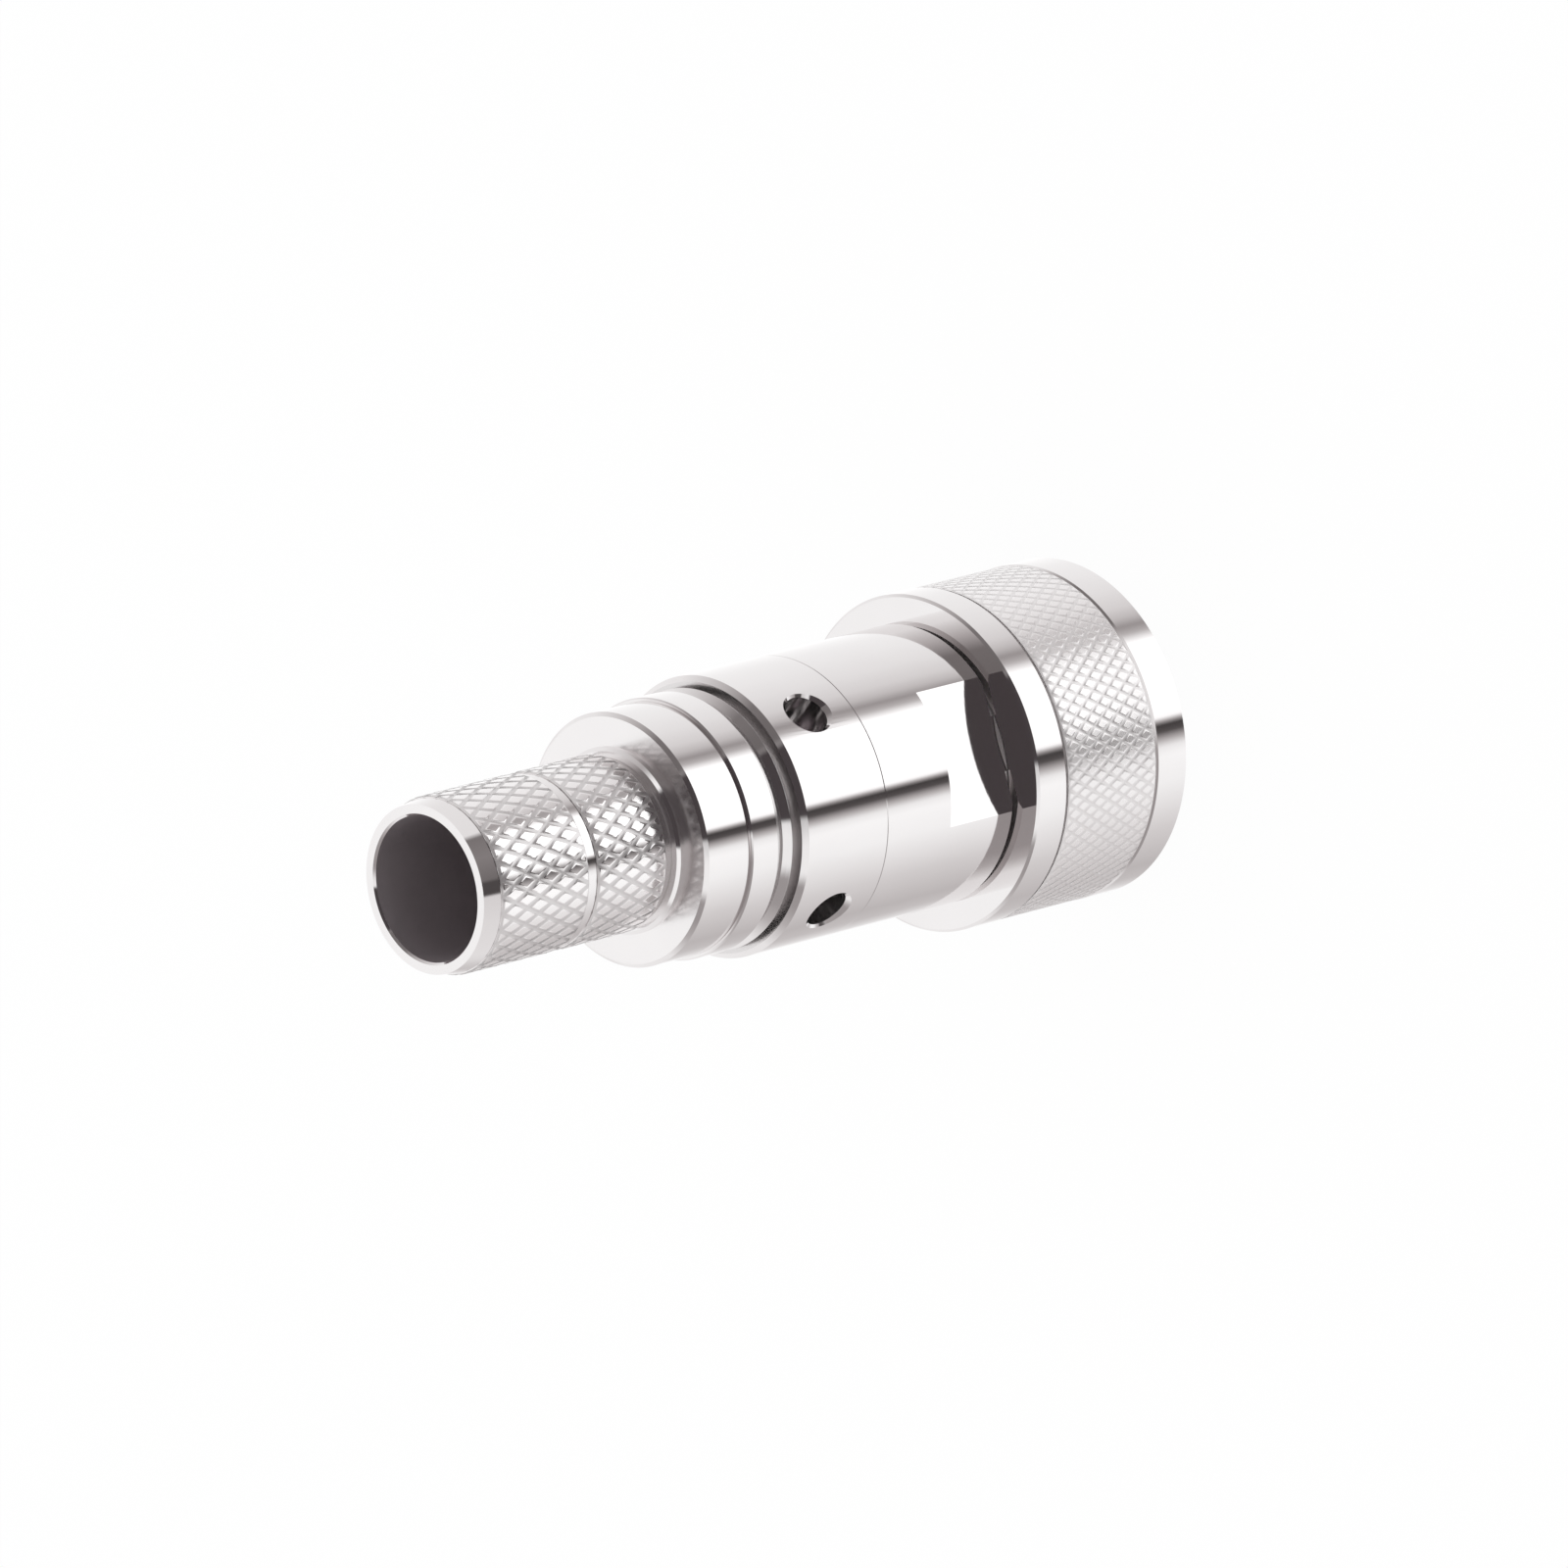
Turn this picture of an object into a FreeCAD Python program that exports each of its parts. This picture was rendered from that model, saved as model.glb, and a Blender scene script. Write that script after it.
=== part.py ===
"""A crimp plug for 10 mm coaxial cable: a knurled coupling nut that spins on a turned shell,
a centre pin held in an insulator, and a hollow post that the cable's braid is crimped on.

The plug stands on the open end of its nut, with its axis along Z. Every turned piece is drawn
as the half section that a lathe would cut: across is its radius, and up is its height above
that end.
"""

import FreeCAD, Part
import Sketcher
import os

# Sizes in millimetres. Names that end in turn or angle are in degrees, and in count are numbers.
SIZES = {
    "nut_wall": 1.83,
    "nut_length": 11.1,
    "nut_front_band": 2.3,
    "nut_rear_band": 2.05,
    "nut_front_edge": 0.12,
    "nut_rear_edge": 0.15,
    "knurl_sink": 0.05,
    "thread_bore": 14.74,
    "thread_lead": 0.7,
    "relief_depth": 0.63,
    "relief_length": 1.5,
    "lip_length": 2.2,
    "nut_running_gap": 0.08,
    "nut_end_gap": 0.2,
    "lip_step": 0.42,
    "collar_height": 6.0,
    "collar_edge": 0.2,
    "tooth_count": 4,
    "tooth_width": 1.6,
    "tooth_height": 0.7,
    "tooth_inset": 0.1,
    "ring_groove_depth": 0.57,
    "ring_thickness": 0.7,
    "ring_grip": 0.3,
    "ring_gap": 0.05,
    "ring_opening_angle": 28,
    "shoulder_step": 0.78,
    "body_edge": 0.2,
    "front_shell_length": 9.4,
    "flat_length": 4.76,
    "flat_depth": 0.95,
    "seam_edge": 0.04,
    "neck_wall": 1.4,
    "insulator_recess": 0.6,
    "insulator_flange_step": 0.52,
    "insulator_flange_length": 1.5,
    "insulator_seat_depth": 6.7,
    "seat_gap": 0.02,
    "pin_diameter": 3.96,
    "pin_height": 0.5,
    "pin_nose_radius": 1.5,
    "pin_shank_step": 0.22,
    "pin_collar_step": 0.62,
    "pin_collar_length": 2.0,
    "cup_step": 0.37,
    "cup_length": 9.8,
    "cup_edge": 0.25,
    "cup_wall": 0.93,
    "cup_depth": 6.5,
    "cup_hole": 1.2,
    "cup_hole_depth": 4.5,
    "rear_shell_body": 6.0,
    "spigot_seat": 0.62,
    "rear_shell_edge": 0.3,
    "solder_hole": 2.45,
    "solder_hole_height": 2.9,
    "solder_hole_count": 4,
    "solder_hole_turn": 32.6,
    "first_groove": 0.46,
    "rib_width": 0.34,
    "rib_slope": 0.29,
    "second_groove": 0.7,
    "groove_depth": 0.5,
    "band_step": 0.56,
    "band_wall": 1.47,
    "band_length": 1.84,
    "flange_step": 0.2,
    "flange_length": 3.13,
    "flange_edge": 0.22,
    "flange_seam_edge": 0.1,
    "spigot_length": 4.74,
    "post_bore": 7.88,
    "post_wall": 0.74,
    "boss_step": 0.37,
    "boss_height": 0.27,
    "boss_edge_width": 0.2,
    "boss_edge_height": 0.12,
    "post_foot": 0.93,
    "post_knurl_rise": 0.18,
    "post_knurl_length": 11.8,
    "mark_height": 4.95,
    "mark_width": 0.6,
    "post_mouth": 1.1,
    "mouth_taper_depth": 0.12,
    "mouth_taper_length": 0.9,
    "mouth_edge": 0.12,
}

document = FreeCAD.newDocument("CoaxialPlug")
sheet = document.addObject("Spreadsheet::Sheet", "Sizes")
for row, (alias, number) in enumerate(SIZES.items(), start=1):
    sheet.set(f"A{row}", alias)
    sheet.set(f"B{row}", str(number))
    sheet.setAlias(f"B{row}", alias)
document.recompute()


class Size:
    """A length: its value now, and the expression that gives it from the sheet."""

    def __init__(self, value, formula):
        self.value = value
        self.formula = formula

    def __add__(self, other):
        return Size(self.value + other.value, f"({self.formula} + {other.formula})")

    def __sub__(self, other):
        return Size(self.value - other.value, f"({self.formula} - {other.formula})")

    def half(self):
        return Size(self.value / 2, f"({self.formula} / 2)")

    def negative(self):
        return Size(-self.value, f"(0 - {self.formula})")


def size(alias):
    return Size(float(sheet.get(alias)), f"{sheet.Name}.{alias}")


ZERO = Size(0.0, "0")


def origin_feature(body, role):
    """One of a body's own planes or axes, such as XY_Plane or Z_Axis."""
    return next(part for part in body.Origin.OriginFeatures if part.Role == role)


def new_sketch(body, name, plane):
    sketch = body.newObject("Sketcher::SketchObject", name)
    sketch.AttachmentSupport = [(origin_feature(body, plane), "")]
    sketch.MapMode = "FlatFace"
    return sketch


def hold(sketch, kind, line, end, length):
    """Holds one end of a line across or up from the sketch's origin, or on its axis."""
    if length.formula == ZERO.formula:
        axis = -2 if kind == "DistanceX" else -1
        sketch.addConstraint(Sketcher.Constraint("PointOnObject", line, end, axis))
        return
    index = sketch.addConstraint(Sketcher.Constraint(kind, -1, 1, line, end, length.value))
    sketch.setExpression(f"Constraints[{index}]", length.formula)


def draw_outline(sketch, corners):
    """Draws a closed outline of straight lines, each corner held by its own two sizes."""
    first = sketch.GeometryCount
    points = [FreeCAD.Vector(across.value, up.value, 0) for across, up in corners]
    for start, end in zip(points, points[1:] + points[:1]):
        sketch.addGeometry(Part.LineSegment(start, end), False)
    for number, (across, up) in enumerate(corners):
        line = first + number
        following = first + (number + 1) % len(corners)
        sketch.addConstraint(Sketcher.Constraint("Coincident", line, 2, following, 1))
        hold(sketch, "DistanceX", line, 1, across)
        hold(sketch, "DistanceY", line, 1, up)


def draw_box(sketch, left, right, low, high):
    draw_outline(sketch, [(left, low), (right, low), (right, high), (left, high)])


def turn(node, corners):
    """A piece turned on the lathe from its half section."""
    body = document.addObject("PartDesign::Body", node)
    body.Label = node
    profile = new_sketch(body, f"{node}_section", "XZ_Plane")
    draw_outline(profile, corners)
    document.recompute()
    turned = body.newObject("PartDesign::Revolution", f"{node}_turned")
    turned.Profile = profile
    turned.ReferenceAxis = (profile, ["V_Axis"])
    turned.Angle = 360
    profile.Visibility = False
    document.recompute()
    return body


def repeat_round(body, feature, count):
    """Repeats a feature evenly around the plug's axis."""
    pattern = body.newObject("PartDesign::PolarPattern", f"{feature.Name}_round")
    pattern.Originals = [feature]
    pattern.Axis = (origin_feature(body, "Z_Axis"), [""])
    pattern.Angle = 360
    pattern.setExpression("Occurrences", count.formula)
    body.Tip = pattern
    document.recompute()
    return pattern


def drill_sideways(body, name, diameter, height, reach, turned=ZERO):
    """A round hole from the axis out through one wall, at a height and turned about the axis."""
    before = body.Shape.Volume
    circle = new_sketch(body, f"{name}_circle", "XZ_Plane")
    circle.AttachmentOffset = FreeCAD.Placement(
        FreeCAD.Vector(), FreeCAD.Rotation(FreeCAD.Vector(0, 1, 0), turned.value)
    )
    circle.setExpression("AttachmentOffset.Rotation.Angle", turned.formula)
    centre = FreeCAD.Vector(0, height.value, 0)
    radius = diameter.half()
    circle.addGeometry(Part.Circle(centre, FreeCAD.Vector(0, 0, 1), radius.value), False)
    circle.addConstraint(Sketcher.Constraint("PointOnObject", 0, 3, -2))
    hold(circle, "DistanceY", 0, 3, height)
    index = circle.addConstraint(Sketcher.Constraint("Radius", 0, radius.value))
    circle.setExpression(f"Constraints[{index}]", radius.formula)
    document.recompute()
    hole = body.newObject("PartDesign::Pocket", name)
    hole.Profile = circle
    hole.Length = reach.value
    hole.setExpression("Length", reach.formula)
    document.recompute()
    if not body.Shape.Volume < before:
        raise RuntimeError(f"{name} cut nothing")
    return hole


# Heights that more than one piece is set by.
lip_face = size("nut_length") - size("lip_length")
shoulder = size("nut_length") + size("nut_end_gap")
collar_face = size("collar_height")
insulator_face = collar_face + size("insulator_recess")
insulator_seat = collar_face + size("insulator_seat_depth")
insulator_top = insulator_seat + size("insulator_flange_length")
front_seam = shoulder + size("front_shell_length")
grooves_low = front_seam + size("rear_shell_body")
rib_low = grooves_low + size("first_groove")
rib_high = rib_low + size("rib_width")
band_low = rib_high + size("second_groove")
rear_seam = band_low + size("band_length")
spigot_low = rear_seam - size("spigot_length")

# Radii that more than one piece is set by, from the nut's thread inwards.
thread = size("thread_bore").half()
lip_bore = thread - size("lip_step")
neck = lip_bore - size("nut_running_gap")
groove_floor = neck - size("ring_groove_depth")
front_bore = neck - size("neck_wall")
rear_bore = front_bore + size("insulator_flange_step")
body_radius = neck + size("shoulder_step")
band = body_radius - size("band_step")
spigot_bore = band - size("band_wall")
pin = size("pin_diameter").half()
pin_shank = pin + size("pin_shank_step")
pin_collar = pin + size("pin_collar_step")
seat_gap = size("seat_gap")
seam_edge = size("seam_edge")
flange_seam_edge = size("flange_seam_edge")


def make_coupling_nut():
    """The nut that screws on the socket. Its rear lip turns on the front shell's neck."""
    outside = thread + size("nut_wall")
    knurl = outside - size("knurl_sink")
    knurl_high = size("nut_length") - size("nut_rear_band")
    relief = thread + size("relief_depth")
    relief_low = lip_face - size("relief_length")
    front_edge = size("nut_front_edge")
    rear_edge = size("nut_rear_edge")
    return turn(
        "coupling_nut",
        [
            (thread + size("thread_lead"), ZERO),
            (outside - front_edge, ZERO),
            (outside, front_edge),
            (outside, size("nut_front_band")),
            (knurl, size("nut_front_band")),
            (knurl, knurl_high),
            (outside, knurl_high),
            (outside, size("nut_length") - rear_edge),
            (outside - rear_edge, size("nut_length")),
            (lip_bore, size("nut_length")),
            (lip_bore, lip_face),
            (relief, lip_face),
            (relief, relief_low),
            (thread, relief_low),
            (thread, size("thread_lead")),
        ],
    )


def make_retaining_ring():
    """The split spring ring in the neck's groove, which the nut's lip can't pass."""
    inside = groove_floor + size("ring_gap")
    outside = lip_bore + size("ring_grip")
    high = lip_face - size("ring_gap")
    low = high - size("ring_thickness")
    body = turn("retaining_ring", [(inside, low), (outside, low), (outside, high), (inside, high)])
    body.Tip.setExpression("Angle", f"360 - {size('ring_opening_angle').formula}")
    document.recompute()
    return body


def make_front_shell():
    """The shell's front half: the toothed collar, the neck, the ring's groove and two flats."""
    collar_edge = size("collar_edge")
    body_edge = size("body_edge")
    groove_low = lip_face - size("ring_gap") - size("ring_thickness") - size("ring_gap")
    body = turn(
        "front_shell",
        [
            (front_bore, collar_face),
            (neck - collar_edge, collar_face),
            (neck, collar_face + collar_edge),
            (neck, groove_low),
            (groove_floor, groove_low),
            (groove_floor, lip_face),
            (neck, lip_face),
            (neck, shoulder),
            (body_radius - body_edge, shoulder),
            (body_radius, shoulder + body_edge),
            (body_radius, front_seam - seam_edge),
            (body_radius - seam_edge, front_seam),
            (rear_bore, front_seam),
            (rear_bore, insulator_seat),
            (front_bore, insulator_seat),
        ],
    )

    tooth_outline = new_sketch(body, "tooth_outline", "XY_Plane")
    tooth_outline.setExpression("AttachmentOffset.Base.z", collar_face.formula)
    half_width = size("tooth_width").half()
    draw_box(
        tooth_outline,
        front_bore + size("tooth_inset"),
        neck - collar_edge,
        half_width.negative(),
        half_width,
    )
    document.recompute()
    tooth = body.newObject("PartDesign::Pad", "tooth")
    tooth.Profile = tooth_outline
    tooth.Reversed = True
    tooth.setExpression("Length", size("tooth_height").formula)
    document.recompute()
    repeat_round(body, tooth, size("tooth_count"))

    volume = body.Shape.Volume
    flats_outline = new_sketch(body, "flats_outline", "XY_Plane")
    flats_outline.setExpression("AttachmentOffset.Base.z", shoulder.formula)
    flat = body_radius - size("flat_depth")
    for near, far in ((flat, body_radius), (body_radius.negative(), flat.negative())):
        draw_box(flats_outline, near, far, body_radius.negative(), body_radius)
    document.recompute()
    flats = body.newObject("PartDesign::Pocket", "wrench_flats")
    flats.Profile = flats_outline
    flats.Reversed = True
    flats.setExpression("Length", size("flat_length").formula)
    document.recompute()
    if not body.Shape.Volume < volume:
        raise RuntimeError("the wrench flats cut nothing")
    return body


def make_insulator():
    """The plastic bush that centres the pin. Its flange is trapped between the two shells."""
    outside = front_bore - seat_gap
    flange = rear_bore - seat_gap
    bore = pin_shank + seat_gap
    counterbore = pin_collar + seat_gap
    counterbore_low = insulator_top - size("pin_collar_length")
    return turn(
        "insulator",
        [
            (bore, insulator_face),
            (outside, insulator_face),
            (outside, insulator_seat),
            (flange, insulator_seat),
            (flange, insulator_top),
            (counterbore, insulator_top),
            (counterbore, counterbore_low),
            (bore, counterbore_low),
        ],
    )


def make_centre_pin():
    """The centre contact: a round-nosed pin, its collar, and the cup for the cable's core."""
    tip = size("pin_height")
    collar_low = insulator_top - size("pin_collar_length")
    cup = pin + size("cup_step")
    cup_top = insulator_top + size("cup_length")
    cup_edge = size("cup_edge")
    cup_bore = cup - size("cup_wall")
    cup_floor = cup_top - size("cup_depth")
    body = turn(
        "centre_pin",
        [
            (ZERO, tip),
            (pin, tip),
            (pin, insulator_face),
            (pin_shank, insulator_face),
            (pin_shank, collar_low),
            (pin_collar, collar_low),
            (pin_collar, insulator_top),
            (cup, insulator_top),
            (cup, cup_top - cup_edge),
            (cup - cup_edge, cup_top),
            (cup_bore + cup_edge, cup_top),
            (cup_bore, cup_top - cup_edge),
            (cup_bore, cup_floor),
            (ZERO, cup_floor - cup_bore.half()),
        ],
    )
    hole_height = cup_top - size("cup_hole_depth")
    drill_sideways(body, "cup_hole", size("cup_hole"), hole_height, pin_collar)
    nose = body.newObject("PartDesign::Fillet", "nose")
    rim = next(
        f"Edge{number}"
        for number, edge in enumerate(body.Shape.Edges, start=1)
        if isinstance(edge.Curve, Part.Circle) and abs(edge.Curve.Center.z - tip.value) < 1e-6
    )
    nose.Base = (body.getObject("cup_hole"), [rim])
    nose.setExpression("Radius", size("pin_nose_radius").formula)
    body.Tip = nose
    document.recompute()
    return body


def make_rear_shell():
    """The shell's rear half, with its solder holes, two grooves and the rib between them."""
    bore = spigot_bore - size("spigot_seat")
    flange_seat = rear_bore - seat_gap
    groove = band - size("groove_depth")
    shell_edge = size("rear_shell_edge")
    rib_slope = size("rib_slope")
    body = turn(
        "rear_shell",
        [
            (bore, insulator_top),
            (flange_seat, insulator_top),
            (flange_seat, front_seam),
            (body_radius - seam_edge, front_seam),
            (body_radius, front_seam + seam_edge),
            (body_radius, grooves_low - shell_edge),
            (body_radius - shell_edge, grooves_low),
            (groove, grooves_low),
            (groove, rib_low),
            (band, rib_low),
            (band, rib_high - rib_slope),
            (band - rib_slope, rib_high),
            (groove, rib_high),
            (groove, band_low),
            (band, band_low),
            (band, rear_seam - flange_seam_edge),
            (band - flange_seam_edge, rear_seam),
            (spigot_bore, rear_seam),
            (spigot_bore, spigot_low),
            (bore, spigot_low),
        ],
    )
    hole = drill_sideways(
        body,
        "solder_hole",
        size("solder_hole"),
        front_seam + size("solder_hole_height"),
        body_radius + body_radius,
        size("solder_hole_turn"),
    )
    repeat_round(body, hole, size("solder_hole_count"))
    return body


def make_crimp_post():
    """The hollow post that the braid is crimped on, with its flange and its pressed spigot."""
    bore = size("post_bore").half()
    spigot = spigot_bore - seat_gap
    flange = band - size("flange_step")
    flange_edge = size("flange_edge")
    flange_top = rear_seam + size("flange_length")
    boss_top = flange_top + size("boss_height")
    plain = bore + size("post_wall")
    boss = plain + size("boss_step")
    knurl = plain + size("post_knurl_rise")
    knurl_low = flange_top + size("post_foot")
    knurl_high = knurl_low + size("post_knurl_length")
    mark_low = knurl_low + size("mark_height")
    mark_high = mark_low + size("mark_width")
    mouth = knurl_high + size("post_mouth")
    mouth_radius = plain - size("mouth_taper_depth")
    mouth_edge = size("mouth_edge")
    return turn(
        "crimp_post",
        [
            (bore, spigot_low),
            (spigot, spigot_low),
            (spigot, rear_seam),
            (flange - flange_seam_edge, rear_seam),
            (flange, rear_seam + flange_seam_edge),
            (flange, flange_top - flange_edge),
            (flange - flange_edge, flange_top),
            (boss, flange_top),
            (boss, boss_top - size("boss_edge_height")),
            (boss - size("boss_edge_width"), boss_top),
            (plain, boss_top),
            (plain, knurl_low),
            (knurl, knurl_low),
            (knurl, mark_low),
            (plain, mark_low),
            (plain, mark_high),
            (knurl, mark_high),
            (knurl, knurl_high),
            (plain, knurl_high),
            (plain, mouth - size("mouth_taper_length")),
            (mouth_radius, mouth),
            (bore + mouth_edge, mouth),
            (bore, mouth - mouth_edge),
        ],
    )


pieces = [
    make_coupling_nut(),
    make_retaining_ring(),
    make_front_shell(),
    make_insulator(),
    make_centre_pin(),
    make_rear_shell(),
    make_crimp_post(),
]
document.recompute()

for made in document.Objects:
    if {"Invalid", "Error"} & set(made.State):
        raise RuntimeError(f"{made.Name} failed: {made.State}")
for piece in pieces:
    if piece.Shape.isNull() or not piece.Shape.isValid() or len(piece.Shape.Solids) != 1:
        raise RuntimeError(f"{piece.Label} isn't one valid solid")

os.makedirs("parts", exist_ok=True)
for piece in pieces:
    piece.Shape.exportStep(f"parts/{piece.Label}.step")
    box = piece.Shape.BoundBox
    print(
        f"{piece.Label}: {piece.Shape.Volume:.1f} mm3, radius {box.XMax:.2f}, "
        f"from {box.ZMin:.2f} to {box.ZMax:.2f}, {len(piece.Shape.Faces)} faces"
    )
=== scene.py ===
"""A crimp plug for thick coaxial cable, in bright nickel plate, photographed close up.

The plug stands on the open end of its coupling nut, with its axis along Z. The camera looks
along it from above the crimp post, turned so that the plug lies across the picture.
"""

import math

import bpy
from mathutils import Matrix, Vector


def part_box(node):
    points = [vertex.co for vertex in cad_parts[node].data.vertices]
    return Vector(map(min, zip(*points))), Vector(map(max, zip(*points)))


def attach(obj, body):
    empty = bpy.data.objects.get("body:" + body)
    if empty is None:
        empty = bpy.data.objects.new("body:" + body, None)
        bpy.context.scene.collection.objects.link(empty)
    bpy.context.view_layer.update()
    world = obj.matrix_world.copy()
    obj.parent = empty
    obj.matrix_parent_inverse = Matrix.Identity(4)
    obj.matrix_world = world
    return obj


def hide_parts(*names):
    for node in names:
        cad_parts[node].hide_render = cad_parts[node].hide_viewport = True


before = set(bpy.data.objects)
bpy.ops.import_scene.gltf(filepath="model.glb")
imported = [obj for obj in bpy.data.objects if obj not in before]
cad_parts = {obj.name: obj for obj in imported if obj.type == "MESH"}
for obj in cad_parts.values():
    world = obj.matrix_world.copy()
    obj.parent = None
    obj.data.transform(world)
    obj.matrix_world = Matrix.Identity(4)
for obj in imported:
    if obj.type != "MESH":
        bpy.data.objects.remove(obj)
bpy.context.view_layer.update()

# Camera.
# A long lens from far away, so that the plug is seen almost without perspective. The picture is
# 1600 pixels square, and the mouth of the crimp post is left of its middle.
MM = 0.001
PICTURE_PIXELS = 1600
MM_PER_PIXEL = 0.0514
MOUTH_PIXEL = (433.7, 907.7)
TO_CAMERA = Vector((0.7487, 0.0, 0.663)).normalized()
PICTURE_RIGHT = Vector((0.6425, -0.2467, -0.7256))
CAMERA_DISTANCE = 1.2
SENSOR_WIDTH = 36
NEAREST_SEEN = 0.05
FURTHEST_SEEN = 20

plug_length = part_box("crimp_post")[1][2]
mouth_centre = Vector((0, 0, plug_length))
picture_right = (PICTURE_RIGHT - PICTURE_RIGHT.dot(TO_CAMERA) * TO_CAMERA).normalized()
picture_up = TO_CAMERA.cross(picture_right)
picture_middle = (
    mouth_centre
    + picture_right * (PICTURE_PIXELS / 2 - MOUTH_PIXEL[0]) * MM_PER_PIXEL * MM
    + picture_up * (MOUTH_PIXEL[1] - PICTURE_PIXELS / 2) * MM_PER_PIXEL * MM
)

bpy.ops.object.camera_add()
camera = bpy.context.object
camera.name = "camera"
camera.matrix_world = Matrix.Translation(picture_middle + TO_CAMERA * CAMERA_DISTANCE) @ (
    Matrix((picture_right, picture_up, TO_CAMERA)).transposed().to_4x4()
)
picture_width = PICTURE_PIXELS * MM_PER_PIXEL * MM
camera.data.sensor_fit = "HORIZONTAL"
camera.data.sensor_width = SENSOR_WIDTH
camera.data.lens = SENSOR_WIDTH * CAMERA_DISTANCE / picture_width
camera.data.clip_start = NEAREST_SEEN
camera.data.clip_end = FURTHEST_SEEN
bpy.context.scene.camera = camera

# Bright nickel plate.
# The turned brass is polished and plated, so it mirrors what stands round it, softened a little
# by the fine rings that turning leaves. Where the tool left it rougher, as in bores and grooves,
# the plate is duller. The paler plate is a painted highlight for knurl tops, and the darker one
# is painted shade for grooves.
NICKEL = (0.90, 0.88, 0.88, 1)
PAINTED_HIGHLIGHT_NICKEL = (0.98, 0.96, 0.96, 1)
PAINTED_SHADE_NICKEL = (0.77, 0.75, 0.75, 1)
NICKEL_ROUGHNESS = 0.06
TURNING_LINES_PER_MM = 14
LINES_ROUND_SCALE = 60
LINE_DEPTH = 0.02
LINE_STRENGTH = 0.02
STAIN_SCALE = 220
STAIN_SHADE = 0.95
POLISH_SPREAD = (0.8, 1.25)


def nickel_plate(name, roughness=NICKEL_ROUGHNESS, colour=NICKEL):
    """Plate with fine turning lines, and faint stains that change its polish and colour."""
    material = bpy.data.materials.new(name)
    material.use_nodes = True
    nodes = material.node_tree.nodes
    links = material.node_tree.links
    shader = nodes["Principled BSDF"]
    shader.inputs["Metallic"].default_value = 1.0

    place = nodes.new("ShaderNodeTexCoord")
    stretch = nodes.new("ShaderNodeMapping")
    stretch.inputs["Scale"].default_value = (
        LINES_ROUND_SCALE,
        LINES_ROUND_SCALE,
        TURNING_LINES_PER_MM / MM,
    )
    rings = nodes.new("ShaderNodeTexNoise")
    rings.inputs["Scale"].default_value = 1
    rings.inputs["Detail"].default_value = 2
    links.new(place.outputs["Object"], stretch.inputs["Vector"])
    links.new(stretch.outputs["Vector"], rings.inputs["Vector"])
    bump = nodes.new("ShaderNodeBump")
    bump.inputs["Strength"].default_value = LINE_STRENGTH
    bump.inputs["Distance"].default_value = LINE_DEPTH * MM
    links.new(rings.outputs["Fac"], bump.inputs["Height"])
    links.new(bump.outputs["Normal"], shader.inputs["Normal"])

    stain = nodes.new("ShaderNodeTexNoise")
    stain.inputs["Scale"].default_value = STAIN_SCALE
    stain.inputs["Detail"].default_value = 5
    links.new(place.outputs["Object"], stain.inputs["Vector"])
    polish = nodes.new("ShaderNodeMapRange")
    polish.inputs["To Min"].default_value = roughness * POLISH_SPREAD[0]
    polish.inputs["To Max"].default_value = roughness * POLISH_SPREAD[1]
    links.new(stain.outputs["Fac"], polish.inputs["Value"])
    links.new(polish.outputs["Result"], shader.inputs["Roughness"])
    tint = nodes.new("ShaderNodeMixRGB")
    tint.inputs["Color1"].default_value = colour
    tint.inputs["Color2"].default_value = (
        colour[0] * STAIN_SHADE,
        colour[1] * STAIN_SHADE,
        colour[2] * STAIN_SHADE,
        1,
    )
    links.new(stain.outputs["Fac"], tint.inputs["Fac"])
    links.new(tint.outputs["Color"], shader.inputs["Base Color"])
    return material


def dress(piece, *finishes):
    """Gives a piece its finishes, of which the first covers it all over."""
    piece.data.materials.clear()
    for finish in finishes:
        piece.data.materials.append(finish)


bright_nickel = nickel_plate("bright_nickel")
satin_nickel = nickel_plate("satin_nickel", roughness=0.4, colour=(0.88, 0.85, 0.85, 1))

# Turned pieces.
# Each is cut on a lathe, so its half section is spun round the axis. Long round walls are one
# row of faces, and only the knurled stretches have more.
ROUND_STEPS = 192
SMOOTH_ANGLE = math.radians(20)
MERGE_DISTANCE = 0.002


def start_empty(name):
    """A new piece with nothing in it, ready for a section."""
    bpy.ops.object.select_all(action="DESELECT")
    bpy.ops.mesh.primitive_plane_add(size=MM)
    piece = bpy.context.object
    piece.name = name
    piece.data.name = name
    bpy.ops.object.mode_set(mode="EDIT")
    bpy.ops.mesh.select_all(action="SELECT")
    bpy.ops.mesh.delete(type="VERT")
    bpy.ops.object.mode_set(mode="OBJECT")
    return piece


def turn_on_lathe(name, section, steps=ROUND_STEPS):
    """Spins a closed half section, given as (radius, height) in millimetres."""
    piece = start_empty(name)
    corners = [(radius * MM, 0, height * MM) for radius, height in section]
    edges = [(number, (number + 1) % len(corners)) for number in range(len(corners))]
    piece.data.from_pydata(corners, edges, [])
    bpy.ops.object.mode_set(mode="EDIT")
    bpy.ops.mesh.select_all(action="SELECT")
    bpy.ops.mesh.spin(steps=steps, angle=math.tau, center=(0, 0, 0), axis=(0, 0, 1))
    bpy.ops.mesh.select_all(action="SELECT")
    bpy.ops.mesh.remove_doubles(threshold=MERGE_DISTANCE * MM)
    bpy.ops.mesh.normals_make_consistent(inside=False)
    bpy.ops.object.mode_set(mode="OBJECT")
    bpy.ops.object.shade_smooth_by_angle(angle=SMOOTH_ANGLE)
    return piece


# Knurl.
# A knurling wheel rolls two sets of slanting grooves into a band, which leaves rows of diamonds
# between grooves. The tops take a paler plate as a painted highlight, and the grooves a duller
# one, which on the post is also painted shade. A band of squares gets the grooves' crossings
# pushed in, its other corners are dissolved to leave one face for each diamond, and each face is
# then raised and given a soft rim.
KNURL_FLOOR = 0.015


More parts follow.
